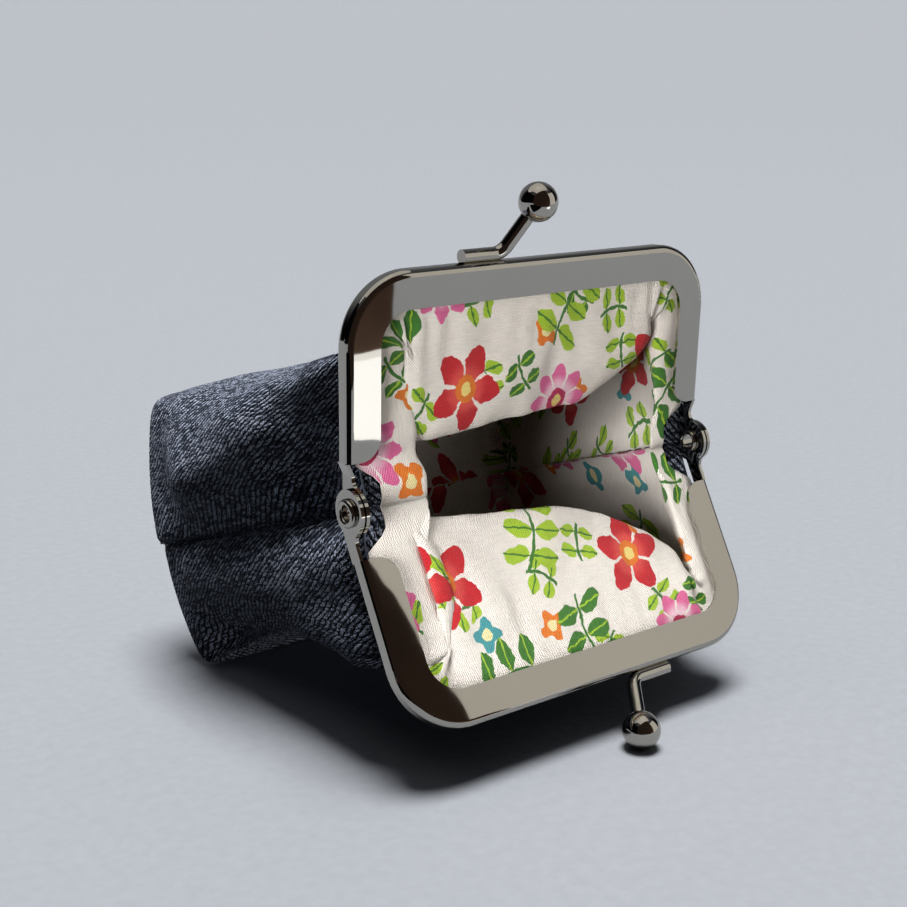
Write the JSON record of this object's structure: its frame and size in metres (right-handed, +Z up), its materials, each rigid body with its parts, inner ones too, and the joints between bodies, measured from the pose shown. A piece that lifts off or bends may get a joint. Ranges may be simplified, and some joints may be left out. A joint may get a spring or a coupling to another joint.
{
  "type": "coin purse",
  "caption": "Lined fabric coin purse with a boxed base and a nickel kiss-lock frame, lying open on its side; the upper half frame closes on riveted ears.",
  "frame": {"origin": "on the table, under the middle of the purse's bounding box", "axes": "+X along the hinge from the left rivet to the right one, +Y from the open mouth to the base of the bag, +Z up"},
  "size_m": [0.0956, 0.104, 0.1025],
  "materials": {
    "nickel_plate": "polished nickel plate",
    "navy_twill": "dark navy cotton twill with paler flecks",
    "printed_cotton": "off-white cotton with a flower print",
    "fleece": "white polyester fleece",
    "paper_cord": "twisted kraft paper",
    "navy_thread": "matt sewing thread",
    "pale_thread": "matt sewing thread"
  },
  "bodies": {
    "purse": {"lower_frame": "nickel_plate", "left_hinge_rivet": "nickel_plate", "right_hinge_rivet": "nickel_plate", "lower_clasp_stem": "nickel_plate", "lower_clasp_ball": "nickel_plate", "lower_paper_cord": "paper_cord", "upper_outer_panel": "navy_twill", "lower_outer_panel": "navy_twill", "upper_fleece": "fleece", "lower_fleece": "fleece", "upper_lining": "printed_cotton", "lower_lining": "printed_cotton", "left_side_stitches": "navy_thread", "right_side_stitches": "navy_thread", "base_stitches": "navy_thread", "lining_left_stitches": "pale_thread", "lining_right_stitches": "pale_thread", "lining_base_stitches": "pale_thread"},
    "upper_half": {"upper_frame": "nickel_plate", "upper_clasp_stem": "nickel_plate", "upper_clasp_ball": "nickel_plate", "upper_paper_cord": "paper_cord"}
  },
  "joints": [
    {"name": "mouth_hinge", "type": "hinge", "parent": "purse", "child": "upper_half", "pos_m": [0, -0.02205, 0.04765], "axis": [1, 0, 0], "range_deg": [-11, 149], "deforming": ["upper_outer_panel", "upper_fleece", "upper_lining"]}
  ]
}
